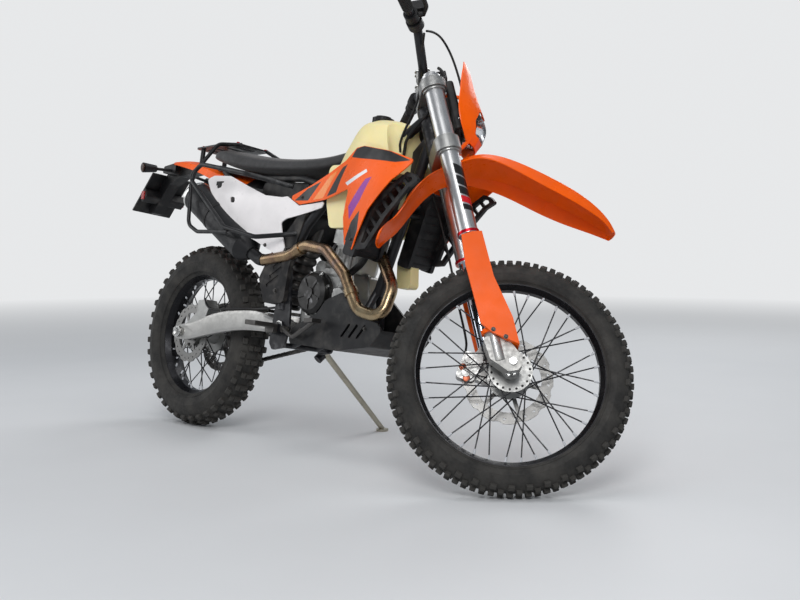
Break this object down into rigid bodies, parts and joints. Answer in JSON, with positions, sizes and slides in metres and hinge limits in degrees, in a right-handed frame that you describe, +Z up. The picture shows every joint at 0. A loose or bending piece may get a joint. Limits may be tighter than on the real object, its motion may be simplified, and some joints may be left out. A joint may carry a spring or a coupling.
{
  "type": "enduro motorcycle",
  "caption": "Road-legal enduro motorcycle with luggage hoops, turning bars and wheels, parked leaning on a folding side stand.",
  "frame": {"origin": "on the ground under the middle of the bounding box", "axes": "+X along the machine towards the front wheel, +Y to its left, +Z up; it leans to +Y on its stand"},
  "size_m": [2.274, 0.6826, 1.4545],
  "materials": {
    "frame_steel": "satin black powder coat",
    "subframe": "moulded black",
    "engine_grey": "cast grey",
    "cylinder_silver": "cast",
    "cover_black": "satin black",
    "header_bronze": "heat tinted steel",
    "muffler_black": "satin black",
    "radiator_black": "black core",
    "tank_cream": "translucent cream",
    "cap_black": "moulded",
    "seat_black": "textured cover",
    "orange": "moulded orange",
    "white": "moulded white",
    "plastic_black": "moulded",
    "rack_black": "satin powder coat",
    "skid_black": "satin black",
    "guard_black": "textured black",
    "control_steel": "steel",
    "shock_body": "coil and body",
    "swingarm_silver": "cast satin",
    "axle_steel": "steel",
    "caliper_grey": "cast",
    "chain_steel": "steel",
    "tyre_black": "dusty rubber",
    "rim_black": "anodised black",
    "hub_silver": "machined",
    "disc_steel": "ground steel",
    "sprocket_steel": "steel",
    "fork_silver": "satin tube",
    "slider_chrome": "chromed tube",
    "clamp_silver": "machined",
    "bar_black": "anodised black",
    "lamp_glass": "clear lens",
    "stand_steel": "dull plate"
  },
  "bodies": {
    "chassis": {"frame": "frame_steel", "subframe": "subframe", "engine_cases": "engine_grey", "cylinder": "cylinder_silver", "engine_covers": "cover_black", "exhaust_header": "header_bronze", "muffler": "muffler_black", "radiators": "radiator_black", "fuel_tank": "tank_cream", "fuel_cap": "cap_black", "seat": "seat_black", "shroud_left": "orange", "shroud_right": "orange", "side_panel_left": "white", "side_panel_right": "white", "rear_fender": "white", "plate_holder": "plastic_black", "side_racks": "rack_black", "skid_plate": "skid_black", "frame_guards": "guard_black", "foot_controls": "control_steel", "shock": "shock_body", "swingarm": "swingarm_silver", "rear_axle": "axle_steel", "rear_caliper": "caliper_grey", "chain": "chain_steel", "coolant_bottle": "tank_cream"},
    "steering": {"fork_tubes": "fork_silver", "fork_sliders": "slider_chrome", "triple_clamps": "clamp_silver", "handlebar": "bar_black", "bar_controls": "plastic_black", "front_axle": "axle_steel", "front_fender": "orange", "headlight_mask": "orange", "headlight": "lamp_glass", "fork_guards": "orange", "front_caliper": "caliper_grey"},
    "front_wheel": {"front_tyre": "tyre_black", "front_rim": "rim_black", "front_hub": "hub_silver", "front_disc": "disc_steel"},
    "rear_wheel": {"rear_tyre": "tyre_black", "rear_rim": "rim_black", "rear_hub": "hub_silver", "rear_disc": "disc_steel", "rear_sprocket": "sprocket_steel"},
    "side_stand": {"side_stand": "stand_steel"}
  },
  "joints": [
    {"name": "steer", "type": "hinge", "parent": "chassis", "child": "steering", "pos_m": [0.47555, 0.01981, 1.02013], "axis": [-0.4331, 0.1559, 0.8878], "range_deg": [-90, 0]},
    {"name": "front_wheel_spin", "type": "hinge", "parent": "steering", "child": "front_wheel", "pos_m": [0.85764, -0.06292, 0.31991], "axis": [-0.6383, 0.6423, -0.4242], "continuous": true},
    {"name": "rear_wheel_spin", "type": "hinge", "parent": "chassis", "child": "rear_wheel", "pos_m": [-0.61454, -0.10205, 0.33744], "axis": [-0.0013, 0.9848, -0.1736], "continuous": true},
    {"name": "side_stand_fold", "type": "hinge", "parent": "chassis", "child": "side_stand", "pos_m": [-0.05879, 0.0236, 0.30285], "axis": [0.1183, 0.777, 0.6183], "range_deg": [0, 92]}
  ]
}
